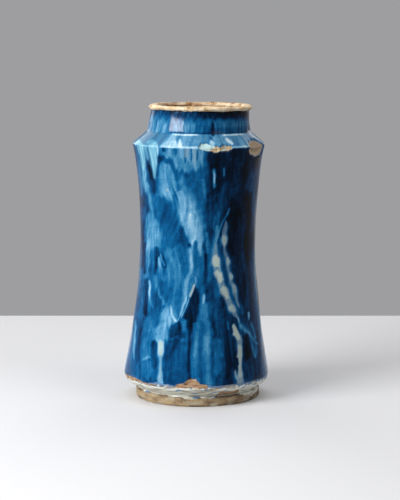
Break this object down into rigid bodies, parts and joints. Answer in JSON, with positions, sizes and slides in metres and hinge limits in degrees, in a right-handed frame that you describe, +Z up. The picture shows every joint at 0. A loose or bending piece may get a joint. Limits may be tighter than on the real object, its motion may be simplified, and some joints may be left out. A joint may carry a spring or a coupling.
{
  "type": "albarello drug jar",
  "caption": "Tall waisted earthenware drug jar with a stepped foot, sloping shoulder, upright neck and bare lip, under a running blue glaze.",
  "frame": {"origin": "centre of the resting face of the foot ring", "axes": "+Z up along the jar's turning axis, the side that the picture shows faces -Y, +X to its right"},
  "size_m": [0.143, 0.1426, 0.2885],
  "materials": {
    "bare_clay": "matte, gritty, stained",
    "slip": "satin, pale, spotted with blue",
    "blue_glaze": "glossy, running from navy to pale turquoise and cream",
    "lining": "thin, satin, stained"
  },
  "bodies": {
    "root": {"foot_ring": "bare_clay", "base_dish": "bare_clay", "body_wall": "bare_clay", "shoulder_ring": "bare_clay", "neck_collar": "bare_clay", "rim_lip": "bare_clay", "ground_slip": "slip", "blue_glaze": "blue_glaze", "inner_lining": "lining"}
  },
  "joints": []
}
